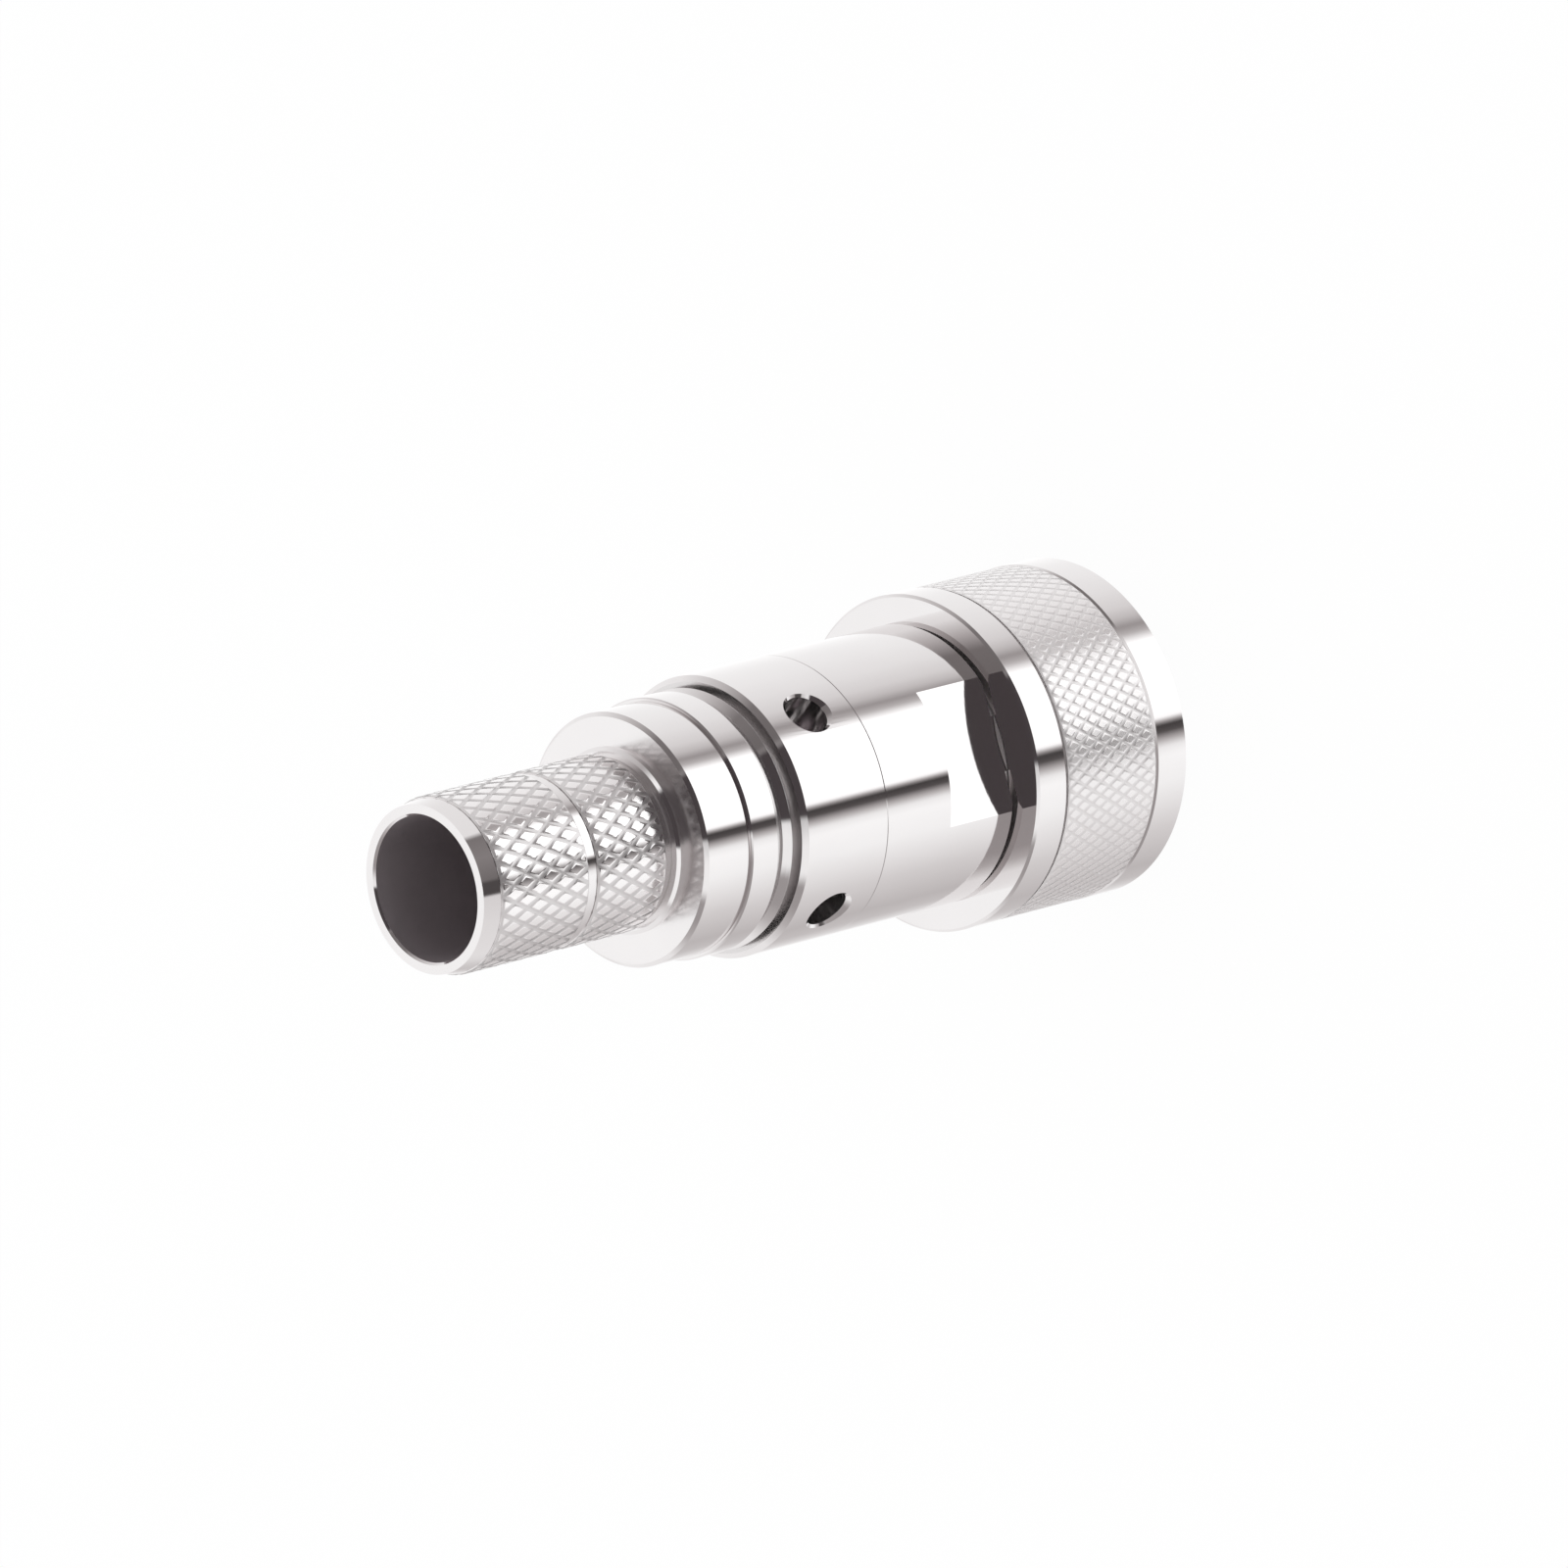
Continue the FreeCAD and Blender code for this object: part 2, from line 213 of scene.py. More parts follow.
def roll_knurl(
    name, crest, root, low, high, diamonds_round, half_rows, groove_width, soft_edge, plates
):
    """A band of diamonds between two heights, with plates for its grooves and its tops."""
    bpy.ops.object.select_all(action="DESELECT")
    bpy.ops.mesh.primitive_cylinder_add(
        vertices=diamonds_round * 2,
        radius=root * MM,
        depth=(high - low) * MM,
        end_fill_type="NOTHING",
        location=(0, 0, (low + high) / 2 * MM),
    )
    knurl = bpy.context.object
    knurl.name = name
    knurl.data.name = name
    bpy.ops.object.transform_apply(location=True, rotation=True, scale=True)
    bpy.ops.object.mode_set(mode="EDIT")
    for row in range(1, half_rows):
        height = (low + (high - low) * row / half_rows) * MM
        bpy.ops.mesh.select_all(action="SELECT")
        bpy.ops.mesh.bisect(plane_co=(0, 0, height), plane_no=(0, 0, 1))

    def is_crest(corner):
        """Every second corner, in both directions, is the middle of a diamond."""
        turn = math.atan2(corner.co.y, corner.co.x) / math.tau
        column = round(turn * diamonds_round * 2)
        row = round((corner.co.z / MM - low) / (high - low) * half_rows)
        return (column + row) % 2 == 1

    def select_crests():
        bpy.ops.object.mode_set(mode="OBJECT")
        for part in (knurl.data.polygons, knurl.data.edges):
            part.foreach_set("select", [False] * len(part))
        for corner in knurl.data.vertices:
            corner.select = is_crest(corner)
        bpy.ops.object.mode_set(mode="EDIT")

    bpy.ops.mesh.select_mode(type="VERT")
    select_crests()
    bpy.ops.transform.resize(value=(crest / root, crest / root, 1), center_override=(0, 0, 0))
    bpy.ops.mesh.select_all(action="SELECT")
    bpy.ops.mesh.quads_convert_to_tris(quad_method="SHORTEST_DIAGONAL")
    select_crests()
    bpy.ops.mesh.dissolve_verts()
    bpy.ops.mesh.select_all(action="SELECT")
    bpy.ops.mesh.normals_make_consistent(inside=False)
    bpy.ops.mesh.inset(
        use_individual=True, thickness=groove_width / 2 * MM, depth=(crest - root) * MM
    )
    bpy.ops.object.mode_set(mode="OBJECT")
    # The raised tops take the second plate, painted paler as a highlight, and the grooves the
    # first.
    grooves, tops = plates
    dress(knurl, grooves, tops)
    for face in knurl.data.polygons:
        face.material_index = int(face.select)
    bpy.ops.object.mode_set(mode="EDIT")
    bpy.ops.mesh.inset(use_individual=True, thickness=soft_edge * MM)
    bpy.ops.object.mode_set(mode="OBJECT")
    bpy.ops.object.shade_smooth()
    return knurl


# Coupling nut.
# The nut is turned from bar and knurled between two plain bands, then threaded inside. Its rear
# lip turns on the shell's neck behind a split ring. The plate is duller in the lip's bore. The
# fine relief groove beside the knurl is duller too, with painted shade that darkens it.
NUT_FRONT_EDGE = 0.12
NUT_REAR_EDGE = (0.15, 0.125)
NUT_FRONT_BAND = 2.3
NUT_REAR_BAND = 2.05
NUT_LIP = 2.2
NUT_KNURL_CREST = 9.17
NUT_KNURL_ROOT = 9.13
NUT_KNURL_RELIEF = (0.24, 0.21)
NUT_DIAMONDS_ROUND = 76
NUT_HALF_ROWS = 11
NUT_BAND_SLOPE = (0.07, 0.14)
NUT_GROOVE_WIDTH = 0.20
NUT_DIAMOND_EDGE = 0.06
NUT_MOUTH_RADIUS = 8.07
NUT_BORE = 8.0
THREAD_CREST = 7.37
THREAD_FOOT = 8.02
THREAD_CREST_WIDTH = 0.26
THREAD_FOOT_WIDTH = 0.92
THREAD_PITCH = 1.058
THREAD_TURNS = 5
THREAD_LEAD = 0.7
NECK_BORE = 6.95
SMALL_ROUND_STEPS = 96
TOLERANCE = 0.01

nut_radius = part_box("coupling_nut")[1][0] / MM
nut_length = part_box("coupling_nut")[1][2] / MM
nut_lip_face = nut_length - NUT_LIP
nut_knurl_high = nut_length - NUT_REAR_BAND
nut_knurl_floor = NUT_KNURL_ROOT - KNURL_FLOOR
nut_relief_low = nut_knurl_high - NUT_KNURL_RELIEF[0]
nut_relief_radius = nut_knurl_floor - NUT_KNURL_RELIEF[1]

coupling_nut = turn_on_lathe(
    "nut",
    [
        (NUT_MOUTH_RADIUS, 0),
        (nut_radius - NUT_FRONT_EDGE, 0),
        (nut_radius, NUT_FRONT_EDGE),
        (nut_radius, NUT_FRONT_BAND - NUT_BAND_SLOPE[1]),
        (nut_radius - NUT_BAND_SLOPE[0], NUT_FRONT_BAND),
        (nut_knurl_floor, NUT_FRONT_BAND),
        (nut_knurl_floor, nut_relief_low),
        (nut_relief_radius, nut_relief_low),
        (nut_relief_radius, nut_knurl_high),
        (nut_radius, nut_knurl_high),
        (nut_radius, nut_length - NUT_REAR_EDGE[1]),
        (nut_radius - NUT_REAR_EDGE[0], nut_length),
        (NECK_BORE, nut_length),
        (NECK_BORE, nut_lip_face),
        (NUT_BORE, nut_lip_face),
        (NUT_BORE, THREAD_LEAD),
    ],
)
nut_knurl = roll_knurl(
    "nut_knurl",
    crest=NUT_KNURL_CREST,
    root=NUT_KNURL_ROOT,
    low=NUT_FRONT_BAND,
    high=nut_relief_low,
    diamonds_round=NUT_DIAMONDS_ROUND,
    half_rows=NUT_HALF_ROWS,
    groove_width=NUT_GROOVE_WIDTH,
    soft_edge=NUT_DIAMOND_EDGE,
    # The tops are plated paler than the grooves, a painted highlight.
    plates=(
        nickel_plate("nut_knurl_grooves", roughness=0.34),
        nickel_plate("nut_knurl_tops", roughness=0.26, colour=PAINTED_HIGHLIGHT_NICKEL),
    ),
)

# The thread is one right-handed ridge wound up the bore, with flat crests and sloped flanks.
nut_thread = start_empty("nut_thread")
thread_low = THREAD_LEAD + THREAD_PITCH / 2
thread_points = [
    (THREAD_FOOT, -THREAD_FOOT_WIDTH / 2),
    (THREAD_CREST, -THREAD_CREST_WIDTH / 2),
    (THREAD_CREST, THREAD_CREST_WIDTH / 2),
    (THREAD_FOOT, THREAD_FOOT_WIDTH / 2),
]
nut_thread.data.from_pydata(
    [(radius * MM, 0, (thread_low + height) * MM) for radius, height in thread_points],
    [(0, 1), (1, 2), (2, 3), (3, 0)],
    [],
)
bpy.ops.object.modifier_add(type="SCREW")
wind = nut_thread.modifiers["Screw"]
wind.axis = "Z"
wind.angle = math.tau
wind.screw_offset = THREAD_PITCH * MM
wind.iterations = THREAD_TURNS
wind.steps = SMALL_ROUND_STEPS
wind.render_steps = SMALL_ROUND_STEPS
bpy.ops.object.modifier_apply(modifier="Screw")
bpy.ops.object.mode_set(mode="EDIT")
bpy.ops.mesh.select_mode(type="EDGE")
bpy.ops.mesh.select_all(action="DESELECT")
bpy.ops.mesh.select_non_manifold()
bpy.ops.mesh.fill_holes(sides=4)
bpy.ops.mesh.select_all(action="SELECT")
bpy.ops.mesh.normals_make_consistent(inside=False)
bpy.ops.object.mode_set(mode="OBJECT")
bpy.ops.object.shade_smooth_by_angle(angle=SMOOTH_ANGLE)


def from_axis(face):
    """How far a face's middle lies from the plug's axis, in millimetres."""
    return Vector((face.center.x, face.center.y, 0)).length / MM


# Painted shade: the relief groove beside the knurl is plated darker than the rest of the nut.
painted_shade_relief = nickel_plate("painted_shade_relief", roughness=0.34, colour=(0.72, 0.70, 0.70, 1))
dress(nut_thread, bright_nickel)
dress(coupling_nut, bright_nickel, painted_shade_relief, satin_nickel)
for face in coupling_nut.data.polygons:
    under_band = face.center.z / MM < nut_knurl_high - TOLERANCE
    on_relief = nut_relief_radius - TOLERANCE < from_axis(face) < nut_knurl_floor - TOLERANCE
    if under_band and on_relief:
        face.material_index = 1
    elif from_axis(face) < NECK_BORE + TOLERANCE:
        face.material_index = 2
for piece in (coupling_nut, nut_knurl, nut_thread):
    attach(piece, "nut")
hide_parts("coupling_nut")

# Front shell.
# The half that the nut turns on: a toothed collar that meets the socket, a neck with the split
# ring's groove, and a round body with two flats for a wrench. The neck and the shoulder's
# underside, where the nut runs, are duller.
COLLAR_EDGE = 0.2
COLLAR_BORE = 5.47
TOOTH_COUNT = 4
TOOTH_WIDTH = 1.6
TOOTH_HEIGHT = 0.7
TOOTH_BORE = 5.57
TOOTH_EDGE = 0.08
TOOTH_ROOT = 0.05
NECK_RADIUS = 6.87
RING_GROOVE_RADIUS = 6.3
RING_GROOVE_WIDTH = 0.8
BODY_EDGE = 0.2
SHOULDER = 11.3
INSULATOR_SEAT = 12.7
SEAM_EDGE = 0.03
FLAT_ACROSS = 13.4
FLAT_LENGTH = 4.76
CUTTER_MARGIN = 0.2

body_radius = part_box("front_shell")[1][1] / MM
front_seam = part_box("front_shell")[1][2] / MM
collar_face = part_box("front_shell")[0][2] / MM + TOOTH_HEIGHT
shell_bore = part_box("insulator")[1][0] / MM

front_shell = turn_on_lathe(
    "front_body",
    [
        (COLLAR_BORE, collar_face),
        (NECK_RADIUS - COLLAR_EDGE, collar_face),
        (NECK_RADIUS, collar_face + COLLAR_EDGE),
        (NECK_RADIUS, nut_lip_face - RING_GROOVE_WIDTH),
        (RING_GROOVE_RADIUS, nut_lip_face - RING_GROOVE_WIDTH),
        (RING_GROOVE_RADIUS, nut_lip_face),
        (NECK_RADIUS, nut_lip_face),
        (NECK_RADIUS, SHOULDER),
        (body_radius - BODY_EDGE, SHOULDER),
        (body_radius, SHOULDER + BODY_EDGE),
        (body_radius, SHOULDER + FLAT_LENGTH),
        (body_radius, front_seam - SEAM_EDGE),
        (body_radius - SEAM_EDGE, front_seam),
        (shell_bore, front_seam),
        (shell_bore, INSULATOR_SEAT),
        (COLLAR_BORE, INSULATOR_SEAT),
    ],
)


def block(name, low, high):
    """A block between two corners in millimetres, for cutting away or for a tooth."""
    bpy.ops.object.select_all(action="DESELECT")
    bpy.ops.mesh.primitive_cube_add(size=MM)
    made = bpy.context.object
    made.name = name
    made.data.name = name
    made.scale = [top - bottom for bottom, top in zip(low, high)]
    made.location = [(top + bottom) / 2 * MM for bottom, top in zip(low, high)]
    bpy.ops.object.transform_apply(location=True, rotation=True, scale=True)
    return made


def cut_away(piece, cutter):
    """Cuts a piece with another, which is then thrown away."""
    bpy.ops.object.select_all(action="DESELECT")
    piece.select_set(True)
    bpy.context.view_layer.objects.active = piece
    bpy.ops.object.modifier_add(type="BOOLEAN")
    cut = piece.modifiers["Boolean"]
    cut.operation = "DIFFERENCE"
    cut.solver = "EXACT"
    cut.object = cutter
    bpy.ops.object.modifier_apply(modifier="Boolean")
    bpy.data.objects.remove(cutter)
    bpy.ops.object.shade_smooth_by_angle(angle=SMOOTH_ANGLE)


for side in (1, -1):
    inner, outer = sorted((side * FLAT_ACROSS / 2, side * (body_radius + 1)))
    cut_away(
        front_shell,
        block(
            "flat_cutter",
            (inner, -body_radius, SHOULDER - CUTTER_MARGIN),
            (outer, body_radius, SHOULDER + FLAT_LENGTH),
        ),
    )

first_tooth = block(
    "collar_tooth_1",
    (TOOTH_BORE, -TOOTH_WIDTH / 2, collar_face - TOOTH_HEIGHT),
    (NECK_RADIUS - COLLAR_EDGE, TOOTH_WIDTH / 2, collar_face + TOOTH_ROOT),
)
bpy.ops.object.mode_set(mode="EDIT")
bpy.ops.mesh.select_all(action="SELECT")
bpy.ops.mesh.bevel(offset=TOOTH_EDGE * MM, segments=2, affect="EDGES")
bpy.ops.object.mode_set(mode="OBJECT")
dress(first_tooth, bright_nickel)
teeth = [first_tooth]
for number in range(1, TOOTH_COUNT):
    bpy.ops.object.select_all(action="DESELECT")
    first_tooth.select_set(True)
    bpy.context.view_layer.objects.active = first_tooth
    bpy.ops.object.duplicate(linked=False)
    tooth = bpy.context.object
    tooth.name = f"collar_tooth_{number + 1}"
    tooth.data.name = tooth.name
    tooth.rotation_euler.z = number * math.tau / TOOTH_COUNT
    bpy.ops.object.transform_apply(location=True, rotation=True, scale=True)
    teeth.append(tooth)

dress(front_shell, bright_nickel, satin_nickel)
for face in front_shell.data.polygons:
    height = face.center.z / MM
    under_shoulder = abs(height - SHOULDER) < TOLERANCE and face.normal.z < -0.9
    up_neck = nut_lip_face - TOLERANCE < height < SHOULDER - TOLERANCE
    if under_shoulder or (up_neck and from_axis(face) < NECK_RADIUS + TOLERANCE):
        face.material_index = 1
for piece in (front_shell, *teeth):
    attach(piece, "shell")
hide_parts("front_shell")

# Rear shell.
# The half that holds the crimp post, with countersunk solder holes. Two grooves leave a thin
# rib between them, and a fine seam shows where it was pressed on the front half. Its bore and
# the drilled walls are duller than its outside. Its grooves are duller too, with painted shade
# that darkens them.
HOLE_DIAMETER = 2.45
HOLE_HEIGHT = 23.6
HOLE_TURN = 32.6
HOLE_COUNT = 4
HOLE_SIDES = 64
HOLE_SINK = 0.25
SINK_REACH = 0.6
PRESS_GAP = 0.02
REAR_BORE = 5.0
BAND_RADIUS = 7.09
REAR_EDGE = (0.3, 0.25)
GROOVES_LOW = 26.7
FIRST_GROOVE = 0.46
RIB_WIDTH = 0.34
RIB_SLOPE = (0.38, 0.33)
SECOND_GROOVE = 0.7
GROOVE_RADIUS = 6.59
SPIGOT_RADIUS = 5.62
FLANGE_SEAM_EDGE = 0.07

rear_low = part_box("rear_shell")[0][2] / MM
rear_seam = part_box("rear_shell")[1][2] / MM
rib_low = GROOVES_LOW + FIRST_GROOVE
rib_high = rib_low + RIB_WIDTH
band_low = rib_high + SECOND_GROOVE
spigot_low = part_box("crimp_post")[0][2] / MM

rear_shell = turn_on_lathe(
    "rear_body",
    [
        (REAR_BORE, rear_low),
        (shell_bore - PRESS_GAP, rear_low),
        (shell_bore - PRESS_GAP, front_seam),
        (body_radius - SEAM_EDGE, front_seam),
        (body_radius, front_seam + SEAM_EDGE),
        (body_radius, GROOVES_LOW - REAR_EDGE[1]),
        (body_radius - REAR_EDGE[0], GROOVES_LOW),
        (GROOVE_RADIUS, GROOVES_LOW),
        (GROOVE_RADIUS, rib_low),
        (BAND_RADIUS, rib_low),
        (BAND_RADIUS, rib_high - RIB_SLOPE[1]),
        (BAND_RADIUS - RIB_SLOPE[0], rib_high),
        (GROOVE_RADIUS, rib_high),
        (GROOVE_RADIUS, band_low),
        (BAND_RADIUS, band_low),
        (BAND_RADIUS, rear_seam - FLANGE_SEAM_EDGE),
        (BAND_RADIUS - FLANGE_SEAM_EDGE, rear_seam),
        (SPIGOT_RADIUS, rear_seam),
        (SPIGOT_RADIUS, spigot_low),
        (REAR_BORE, spigot_low),
    ],
)


def is_chamfer(face):
    """Whether a face slopes upwards, as chamfers and the rib's slope do."""
    return 0.1 < face.normal.z < 0.9


for number in range(HOLE_COUNT):
    turned = math.radians(HOLE_TURN) + number * math.tau / HOLE_COUNT
    outward = Vector((math.cos(turned), math.sin(turned), 0))
    mouth = outward * body_radius * MM + Vector((0, 0, HOLE_HEIGHT * MM))
    facing = outward.to_track_quat("Z", "Y").to_euler()
    bpy.ops.object.select_all(action="DESELECT")
    bpy.ops.mesh.primitive_cylinder_add(
        vertices=HOLE_SIDES,
        radius=HOLE_DIAMETER / 2 * MM,
        depth=body_radius * MM,
        location=mouth,
        rotation=facing,
    )
    bpy.ops.object.transform_apply(location=True, rotation=True, scale=True)
    cut_away(rear_shell, bpy.context.object)
    bpy.ops.object.select_all(action="DESELECT")
    bpy.ops.mesh.primitive_cone_add(
        vertices=HOLE_SIDES,
        radius1=(HOLE_DIAMETER / 2 + HOLE_SINK - SINK_REACH) * MM,
        radius2=(HOLE_DIAMETER / 2 + HOLE_SINK + SINK_REACH) * MM,
        depth=2 * SINK_REACH * MM,
        location=mouth,
        rotation=facing,
    )
    bpy.ops.object.transform_apply(location=True, rotation=True, scale=True)
    cut_away(rear_shell, bpy.context.object)

# Painted shade: the grooves' floors and walls are plated darker than the outside.
painted_shade_grooves = nickel_plate("painted_shade_grooves", roughness=0.2, colour=PAINTED_SHADE_NICKEL)
drilled_wall = nickel_plate("drilled_wall", roughness=0.18)
dress(rear_shell, bright_nickel, painted_shade_grooves, satin_nickel, drilled_wall)
for face in rear_shell.data.polygons:
    height = face.center.z / MM
    by_grooves = GROOVES_LOW - TOLERANCE < height < band_low + TOLERANCE
    in_groove = by_grooves and from_axis(face) < BAND_RADIUS - 2 * TOLERANCE
    by_holes = abs(height - HOLE_HEIGHT) < HOLE_DIAMETER / 2
    if in_groove and not is_chamfer(face):
        face.material_index = 1
    elif from_axis(face) < REAR_BORE + 2 * TOLERANCE:
        face.material_index = 2
    elif by_holes and from_axis(face) < body_radius - HOLE_SINK - TOLERANCE:
        face.material_index = 3
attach(rear_shell, "shell")
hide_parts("rear_shell")

# Crimp post.
# A hollow post that the braid is pressed on, with a flange at its foot. Its two knurled
# stretches are parted by a plain ring that marks how far the braid goes. The bore is rougher,
# with painted shade that darkens it. The flange's face and the post's foot are a little softer
# than the outside.
FLANGE_LENGTH = 3.13
FLANGE_EDGE = (0.22, 0.185)
BOSS_RADIUS = 5.05
BOSS_HEIGHT = 0.27
BOSS_EDGE = (0.2, 0.12)
POST_RADIUS = 4.68
POST_BORE = 3.94
POST_FOOT = 0.93
POST_KNURL_LENGTH = 11.8
POST_KNURL_CREST = 4.83
POST_KNURL_ROOT = 4.76
POST_DIAMONDS_ROUND = 32
POST_GROOVE_WIDTH = 0.26
POST_DIAMOND_EDGE = 0.08
MARK_HEIGHT = 4.95
MARK_WIDTH = 0.6
MARK_RADIUS = 4.71
MOUTH_RADIUS = 4.56
MOUTH_EDGE = 0.12

flange_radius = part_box("crimp_post")[1][0] / MM
post_top = plug_length / MM
flange_top = rear_seam + FLANGE_LENGTH
boss_top = flange_top + BOSS_HEIGHT
post_knurl_low = flange_top + POST_FOOT
post_knurl_high = post_knurl_low + POST_KNURL_LENGTH
mark_low = post_knurl_low + MARK_HEIGHT
mark_high = mark_low + MARK_WIDTH
post_knurl_floor = POST_KNURL_ROOT - KNURL_FLOOR

crimp_post = turn_on_lathe(
    "post",
    [
        (POST_BORE, spigot_low),
        (SPIGOT_RADIUS - PRESS_GAP, spigot_low),
        (SPIGOT_RADIUS - PRESS_GAP, rear_seam),
        (flange_radius - FLANGE_SEAM_EDGE, rear_seam),
        (flange_radius, rear_seam + FLANGE_SEAM_EDGE),
        (flange_radius, flange_top - FLANGE_EDGE[1]),
        (flange_radius - FLANGE_EDGE[0], flange_top),
        (BOSS_RADIUS, flange_top),
        (BOSS_RADIUS, boss_top - BOSS_EDGE[1]),
        (BOSS_RADIUS - BOSS_EDGE[0], boss_top),
        (POST_RADIUS, boss_top),
        (POST_RADIUS, post_knurl_low),
        (post_knurl_floor, post_knurl_low),
        (post_knurl_floor, mark_low),
        (MARK_RADIUS, mark_low),
        (MARK_RADIUS, mark_high),
        (post_knurl_floor, mark_high),
        (post_knurl_floor, post_knurl_high),
        (MARK_RADIUS, post_knurl_high),
        (MOUTH_RADIUS, post_top),
        (POST_BORE + MOUTH_EDGE, post_top),
        (POST_BORE, post_top - MOUTH_EDGE),
    ],
)
# The knurl's grooves are painted darker as shade, and its tops paler as a highlight.
post_plates = (
    nickel_plate("post_knurl_grooves", roughness=0.3, colour=PAINTED_SHADE_NICKEL),
    nickel_plate("post_knurl_tops", roughness=0.1, colour=PAINTED_HIGHLIGHT_NICKEL),
)
post_knurls = [
    roll_knurl(
        f"post_knurl_{place}",
        crest=POST_KNURL_CREST,
        root=POST_KNURL_ROOT,
        low=low,
        high=high,
        diamonds_round=POST_DIAMONDS_ROUND,
        half_rows=half_rows,
        groove_width=POST_GROOVE_WIDTH,
        soft_edge=POST_DIAMOND_EDGE,
        plates=post_plates,
    )
    for place, low, high, half_rows in (
        ("foot", post_knurl_low, mark_low, 6),
        ("mouth", mark_high, post_knurl_high, 7),
    )
]

# Painted shade: the bore is plated darker than the outside.
painted_shade_bore = nickel_plate("painted_shade_bore", roughness=0.5, colour=(0.77, 0.72, 0.74, 1))
turned_foot = nickel_plate("turned_foot", roughness=0.16, colour=(0.92, 0.90, 0.90, 1))
dress(crimp_post, bright_nickel, painted_shade_bore, turned_foot)
for face in crimp_post.data.polygons:
    at_foot = flange_top - TOLERANCE < face.center.z / MM < post_knurl_low - TOLERANCE
    if from_axis(face) < POST_BORE + TOLERANCE:
        face.material_index = 1
    elif at_foot and not is_chamfer(face):
        face.material_index = 2
for piece in (crimp_post, *post_knurls):
    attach(piece, "shell")
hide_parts("crimp_post")

# Centre pin.
# A turned brass contact with a rounded nose, plated bright. Its rear end is a satin cup that
# the cable's core is soldered into through a small side hole.
PIN_RADIUS = 1.98
PIN_NOSE = 1.5
NOSE_STEPS = 8
SHANK_RADIUS = 2.2
COLLAR_RADIUS = 2.6
COLLAR_LENGTH = 2.0
INSULATOR_TOP = 14.2
CUP_RADIUS = 2.35
CUP_BORE = 1.42
CUP_EDGE = 0.25
CUP_DEPTH = 6.5
CUP_HOLE_DEPTH = 4.5
CUP_HOLE = 1.2
CUP_HOLE_SIDES = 32

pin_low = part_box("centre_pin")[0][2] / MM
cup_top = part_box("centre_pin")[1][2] / MM
insulator_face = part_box("insulator")[0][2] / MM
nose = [
    (
        PIN_RADIUS - PIN_NOSE + PIN_NOSE * math.sin(math.pi / 2 * step / NOSE_STEPS),
        pin_low + PIN_NOSE - PIN_NOSE * math.cos(math.pi / 2 * step / NOSE_STEPS),
    )
    for step in range(NOSE_STEPS + 1)
]
centre_pin = turn_on_lathe(
    "pin",
    [
        (0, pin_low),
        *nose,
        (PIN_RADIUS, insulator_face),
        (SHANK_RADIUS, insulator_face),
        (SHANK_RADIUS, INSULATOR_TOP - COLLAR_LENGTH),
        (COLLAR_RADIUS, INSULATOR_TOP - COLLAR_LENGTH),
        (COLLAR_RADIUS, INSULATOR_TOP),
        (CUP_RADIUS, INSULATOR_TOP),
        (CUP_RADIUS, cup_top - CUP_EDGE),
        (CUP_RADIUS - CUP_EDGE, cup_top),
        (CUP_BORE + CUP_EDGE, cup_top),
        (CUP_BORE, cup_top - CUP_EDGE),
        (CUP_BORE, cup_top - CUP_DEPTH),
        (0, cup_top - CUP_DEPTH - CUP_BORE / 2),
    ],
    steps=SMALL_ROUND_STEPS,
)
bpy.ops.object.select_all(action="DESELECT")
bpy.ops.mesh.primitive_cylinder_add(
    vertices=CUP_HOLE_SIDES,
    radius=CUP_HOLE / 2 * MM,
    depth=COLLAR_RADIUS * MM,
    location=(0, -COLLAR_RADIUS * MM, (cup_top - CUP_HOLE_DEPTH) * MM),
    rotation=(math.pi / 2, 0, 0),
)
bpy.ops.object.transform_apply(location=True, rotation=True, scale=True)
cut_away(centre_pin, bpy.context.object)
dress(centre_pin, bright_nickel, satin_nickel)
for face in centre_pin.data.polygons:
    if face.center.z > INSULATOR_TOP * MM:
        face.material_index = 1
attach(centre_pin, "shell")
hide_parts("centre_pin")

# Insulator.
# A bush turned from white fluoroplastic, waxy and slightly see-through at its edges.
WAX_PALE = (0.88, 0.88, 0.86, 1)
WAX_DARK = (0.80, 0.80, 0.77, 1)
WAX_ROUGHNESS = 0.38
WAX_DEPTH = (0.001, 0.001, 0.0009)
WAX_CLOUD_SCALE = 400

waxy_white = bpy.data.materials.new("waxy_white")
waxy_white.use_nodes = True
wax_nodes = waxy_white.node_tree.nodes
wax_links = waxy_white.node_tree.links
wax = wax_nodes["Principled BSDF"]
wax.inputs["Roughness"].default_value = WAX_ROUGHNESS
wax.inputs["Subsurface Weight"].default_value = 0.15
wax.inputs["Subsurface Radius"].default_value = WAX_DEPTH
wax.inputs["Subsurface Scale"].default_value = 1
wax_place = wax_nodes.new("ShaderNodeTexCoord")
wax_cloud = wax_nodes.new("ShaderNodeTexNoise")
wax_cloud.inputs["Scale"].default_value = WAX_CLOUD_SCALE
wax_tint = wax_nodes.new("ShaderNodeMixRGB")
wax_tint.inputs["Color1"].default_value = WAX_PALE
wax_tint.inputs["Color2"].default_value = WAX_DARK
wax_rings = wax_nodes.new("ShaderNodeBump")
wax_rings.inputs["Strength"].default_value = 0.1
wax_rings.inputs["Distance"].default_value = LINE_DEPTH * MM
wax_links.new(wax_place.outputs["Object"], wax_cloud.inputs["Vector"])
wax_links.new(wax_cloud.outputs["Fac"], wax_tint.inputs["Fac"])
wax_links.new(wax_tint.outputs["Color"], wax.inputs["Base Color"])
wax_links.new(wax_cloud.outputs["Fac"], wax_rings.inputs["Height"])
wax_links.new(wax_rings.outputs["Normal"], wax.inputs["Normal"])
dress(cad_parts["insulator"], waxy_white)

